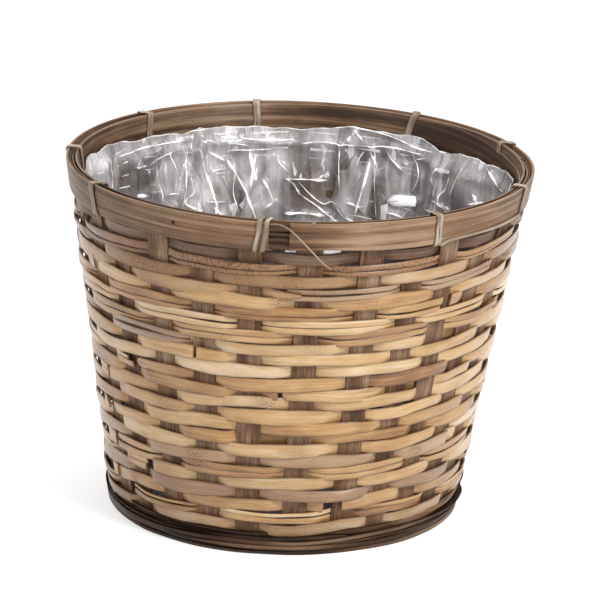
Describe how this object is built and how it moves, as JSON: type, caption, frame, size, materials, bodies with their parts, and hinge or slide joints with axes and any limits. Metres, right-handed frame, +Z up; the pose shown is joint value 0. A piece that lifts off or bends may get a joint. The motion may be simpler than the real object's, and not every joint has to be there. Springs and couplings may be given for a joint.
{
  "type": "rattan planter basket",
  "caption": "Round tapered hand-woven planter basket with flat bamboo stakes, rattan weavers, a lashed double-hoop rim and a loose clear film liner.",
  "frame": {"origin": "on the floor under the middle of the rim; the base stands 7.3 mm to the left of it", "axes": "+Z up out of the mouth, -Y the pictured front, +X to the right"},
  "size_m": [0.3013, 0.3023, 0.2315],
  "materials": {
    "golden_rattan": "satin split rattan, pale straw to orange",
    "stake_bamboo": "matt grey-brown bamboo with fine grain",
    "dark_cane": "matt dark brown cane",
    "rim_bamboo": "satin grey-brown split bamboo",
    "lace_cane": "pale grey-beige peeled cane",
    "clear_film": "clear crinkled film"
  },
  "bodies": {
    "basket": {"splint_front_to_back_01": "stake_bamboo", "splint_front_to_back_02": "stake_bamboo", "splint_front_to_back_03": "stake_bamboo", "splint_front_to_back_04": "stake_bamboo", "splint_front_to_back_05": "stake_bamboo", "splint_front_to_back_06": "stake_bamboo", "splint_front_to_back_07": "stake_bamboo", "splint_side_to_side_01": "stake_bamboo", "splint_side_to_side_02": "stake_bamboo", "splint_side_to_side_03": "stake_bamboo", "splint_side_to_side_04": "stake_bamboo", "splint_side_to_side_05": "stake_bamboo", "splint_side_to_side_06": "stake_bamboo", "splint_side_to_side_07": "stake_bamboo", "base_cane": "dark_cane", "foot_hoop": "dark_cane", "foot_weaver": "dark_cane", "weaver_01": "golden_rattan", "weaver_02": "golden_rattan", "weaver_03": "golden_rattan", "weaver_04": "golden_rattan", "weaver_05": "golden_rattan", "weaver_06": "golden_rattan", "weaver_07": "golden_rattan", "rim_band": "stake_bamboo", "outer_hoop": "rim_bamboo", "inner_hoop": "rim_bamboo", "rim_core": "lace_cane", "lashing_01": "lace_cane", "lashing_02": "lace_cane", "lashing_03": "lace_cane", "lashing_04": "lace_cane", "lashing_05": "lace_cane", "lashing_06": "lace_cane", "lashing_07": "lace_cane", "lashing_08": "lace_cane", "lashing_09": "lace_cane"},
    "liner": {"liner": "clear_film"}
  },
  "joints": [
    {"name": "liner_lift", "type": "slide", "parent": "basket", "child": "liner", "axis": [0, 0, 1], "range_m": [0, 0.25]}
  ]
}
